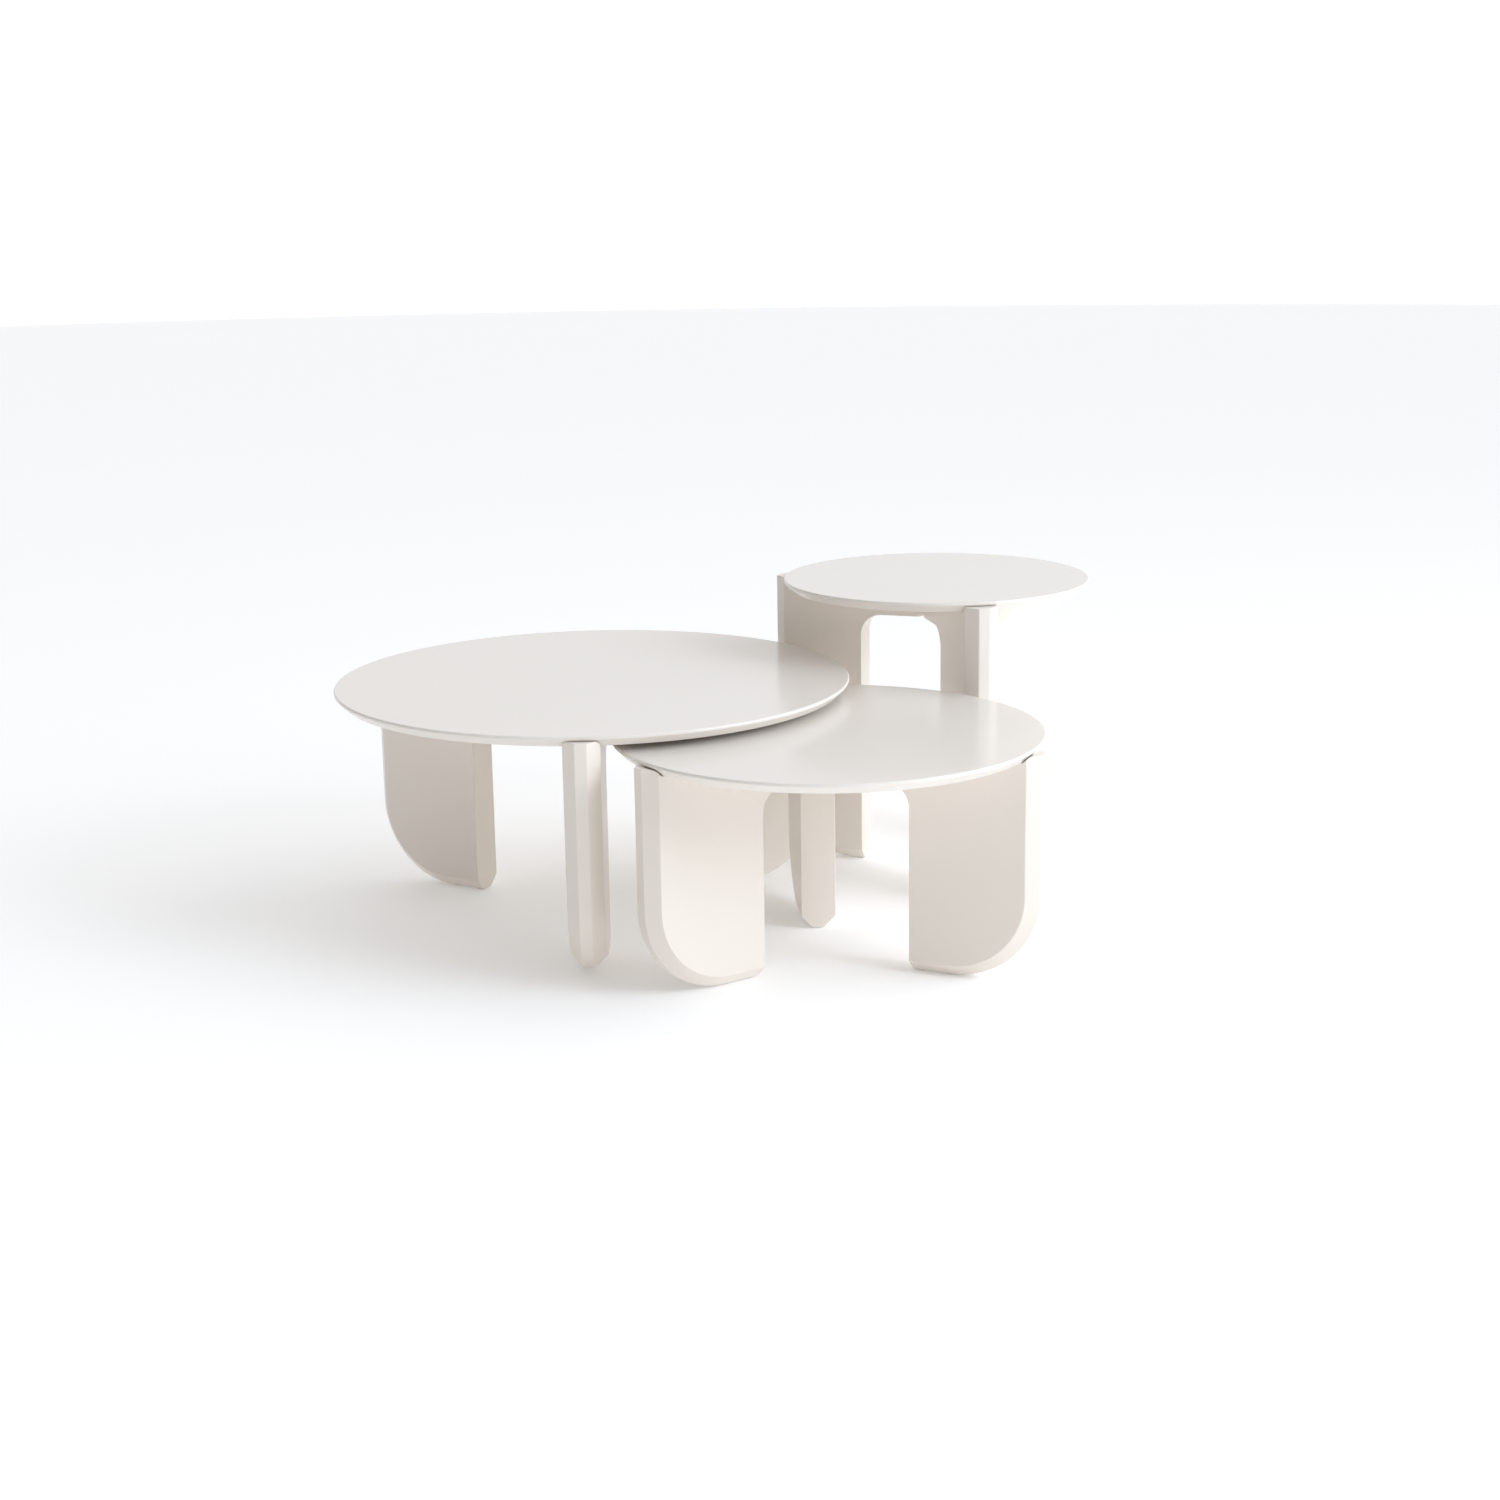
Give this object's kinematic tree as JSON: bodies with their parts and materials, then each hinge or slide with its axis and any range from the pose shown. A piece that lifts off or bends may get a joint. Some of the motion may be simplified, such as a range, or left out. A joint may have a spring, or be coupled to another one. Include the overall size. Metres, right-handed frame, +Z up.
{
  "type": "nesting tables",
  "caption": "Round nesting tables with bevelled lacquered tops on thick panel legs; the lower one slides under the wide one and the tall one stands over its edge.",
  "frame": {"origin": "on the floor, under the middle of the whole group's bounding box", "axes": "+Z up, +X to the right along the group's longest side, +Y to the back"},
  "size_m": [1.3529, 1.181, 0.55],
  "materials": {
    "top_lacquer": "satin",
    "leg_lacquer": "satin",
    "zinc_plate": "satin",
    "zinc_screws": "satin",
    "bolt_steel": "satin",
    "insert_brass": "satin",
    "dowel_beech": "matte",
    "glide_nylon": "matte"
  },
  "bodies": {
    "large_table": {"large_top": "top_lacquer", "large_leg_left": "leg_lacquer", "large_leg_front": "leg_lacquer", "large_leg_right": "leg_lacquer", "large_centre_plate": "zinc_plate", "large_plate_screws": "zinc_screws", "large_bolts": "bolt_steel", "large_washers": "bolt_steel", "large_inserts": "insert_brass", "large_dowels": "dowel_beech", "large_glides": "glide_nylon"},
    "medium_table": {"medium_top": "top_lacquer", "medium_leg_left": "leg_lacquer", "medium_leg_right": "leg_lacquer", "medium_leg_back": "leg_lacquer", "medium_centre_plate": "zinc_plate", "medium_plate_screws": "zinc_screws", "medium_bolts": "bolt_steel", "medium_washers": "bolt_steel", "medium_inserts": "insert_brass", "medium_dowels": "dowel_beech", "medium_glides": "glide_nylon"},
    "small_table": {"small_top": "top_lacquer", "small_leg_left": "leg_lacquer", "small_leg_front": "leg_lacquer", "small_leg_right": "leg_lacquer", "small_centre_plate": "zinc_plate", "small_plate_screws": "zinc_screws", "small_bolts": "bolt_steel", "small_washers": "bolt_steel", "small_inserts": "insert_brass", "small_dowels": "dowel_beech", "small_glides": "glide_nylon"}
  },
  "joints": [
    {"name": "medium_nest_slide", "type": "slide", "parent": "large_table", "child": "medium_table", "axis": [0.7071, -0.7071, 0], "range_m": [-0.008, 0.35]},
    {"name": "small_nest_slide", "type": "slide", "parent": "large_table", "child": "small_table", "axis": [0.7071, 0.7071, 0], "range_m": [0, 0.25]}
  ]
}
